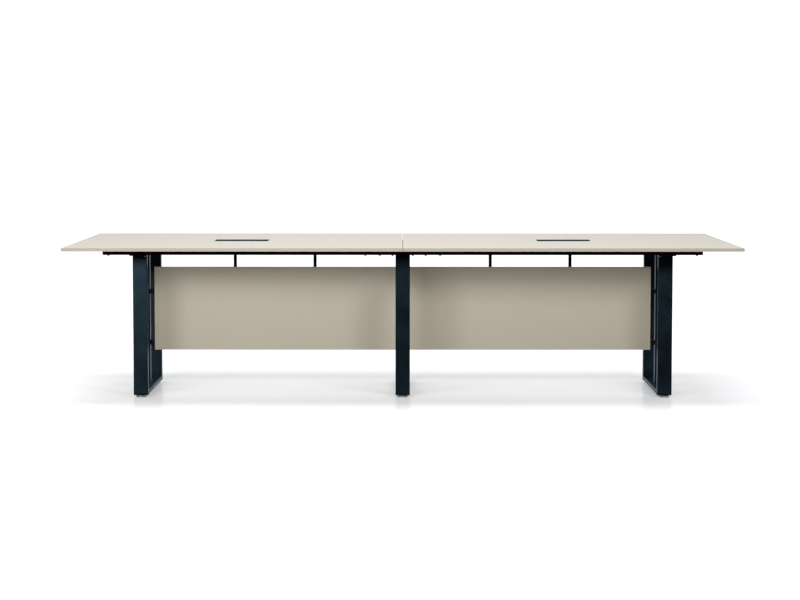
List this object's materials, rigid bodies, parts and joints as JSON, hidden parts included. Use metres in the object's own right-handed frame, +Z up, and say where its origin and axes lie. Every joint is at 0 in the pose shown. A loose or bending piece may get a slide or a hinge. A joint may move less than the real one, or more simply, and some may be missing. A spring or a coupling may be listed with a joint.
{
  "type": "conference table",
  "caption": "Long rectangular meeting table in halves on dark steel loop legs, with hung modesty panels, flip-lid power boxes and levelling feet.",
  "frame": {"origin": "on the floor, under the middle of the top", "axes": "+X along the length, +Y from the front to the rear, +Z up"},
  "size_m": [3.2, 1.4, 0.745],
  "materials": {
    "melamine_board": "satin melamine-faced board with a matching edge band",
    "leg_powder_coat": "semi-gloss dark blue-black powder coat on steel tube",
    "rail_powder_coat": "satin black powder coat on steel",
    "black_plastic": "moulded black plastic",
    "zinc_plated_steel": "zinc-plated steel",
    "anodised_aluminium": "charcoal anodised aluminium",
    "tray_steel": "dark grey painted sheet steel"
  },
  "bodies": {
    "table": {"left_top": "melamine_board", "right_top": "melamine_board", "left_leg_front_post": "leg_powder_coat", "left_leg_rear_post": "leg_powder_coat", "left_leg_foot_bar": "leg_powder_coat", "left_leg_upright": "leg_powder_coat", "left_leg_top_plate": "leg_powder_coat", "middle_leg_front_post": "leg_powder_coat", "middle_leg_rear_post": "leg_powder_coat", "middle_leg_foot_bar": "leg_powder_coat", "middle_leg_upright": "leg_powder_coat", "middle_leg_top_plate": "leg_powder_coat", "right_leg_front_post": "leg_powder_coat", "right_leg_rear_post": "leg_powder_coat", "right_leg_foot_bar": "leg_powder_coat", "right_leg_upright": "leg_powder_coat", "right_leg_top_plate": "leg_powder_coat", "front_left_rail": "rail_powder_coat", "front_right_rail": "rail_powder_coat", "rear_left_rail": "rail_powder_coat", "rear_right_rail": "rail_powder_coat", "front_left_rail_cap": "black_plastic", "front_right_rail_cap": "black_plastic", "rear_left_rail_cap": "black_plastic", "rear_right_rail_cap": "black_plastic", "front_rail_sleeve": "zinc_plated_steel", "rear_rail_sleeve": "zinc_plated_steel", "left_front_plug": "black_plastic", "left_rear_plug": "black_plastic", "middle_front_plug": "black_plastic", "middle_rear_plug": "black_plastic", "right_front_plug": "black_plastic", "right_rear_plug": "black_plastic", "left_panel": "melamine_board", "right_panel": "melamine_board", "left_panel_inner_hanger": "rail_powder_coat", "left_panel_outer_hanger": "rail_powder_coat", "right_panel_inner_hanger": "rail_powder_coat", "right_panel_outer_hanger": "rail_powder_coat", "left_panel_lower_clip": "black_plastic", "left_panel_upper_clip": "black_plastic", "right_panel_lower_clip": "black_plastic", "right_panel_upper_clip": "black_plastic", "middle_lower_saddle": "rail_powder_coat", "middle_upper_saddle": "rail_powder_coat", "left_power_frame": "anodised_aluminium", "right_power_frame": "anodised_aluminium", "left_power_tray": "tray_steel", "right_power_tray": "tray_steel", "left_socket_module": "black_plastic", "right_socket_module": "black_plastic"},
    "left_lid": {"left_power_lid": "anodised_aluminium"},
    "right_lid": {"right_power_lid": "anodised_aluminium"},
    "left_front_foot": {"left_front_foot": "zinc_plated_steel"},
    "left_rear_foot": {"left_rear_foot": "zinc_plated_steel"},
    "middle_front_foot": {"middle_front_foot": "zinc_plated_steel"},
    "middle_rear_foot": {"middle_rear_foot": "zinc_plated_steel"},
    "right_front_foot": {"right_front_foot": "zinc_plated_steel"},
    "right_rear_foot": {"right_rear_foot": "zinc_plated_steel"}
  },
  "joints": [
    {"name": "left_lid_hinge", "type": "hinge", "parent": "table", "child": "left_lid", "pos_m": [-0.8, 0.0609, 0.7425], "axis": [-1, 0, 0], "range_deg": [0, 100]},
    {"name": "right_lid_hinge", "type": "hinge", "parent": "table", "child": "right_lid", "pos_m": [0.8, 0.0609, 0.7425], "axis": [-1, 0, 0], "range_deg": [0, 100]},
    {"name": "left_front_foot_screw", "type": "slide", "parent": "table", "child": "left_front_foot", "axis": [0, 0, -1], "range_m": [0, 0.012]},
    {"name": "left_rear_foot_screw", "type": "slide", "parent": "table", "child": "left_rear_foot", "axis": [0, 0, -1], "range_m": [0, 0.012]},
    {"name": "middle_front_foot_screw", "type": "slide", "parent": "table", "child": "middle_front_foot", "axis": [0, 0, -1], "range_m": [0, 0.012]},
    {"name": "middle_rear_foot_screw", "type": "slide", "parent": "table", "child": "middle_rear_foot", "axis": [0, 0, -1], "range_m": [0, 0.012]},
    {"name": "right_front_foot_screw", "type": "slide", "parent": "table", "child": "right_front_foot", "axis": [0, 0, -1], "range_m": [0, 0.012]},
    {"name": "right_rear_foot_screw", "type": "slide", "parent": "table", "child": "right_rear_foot", "axis": [0, 0, -1], "range_m": [0, 0.012]}
  ]
}
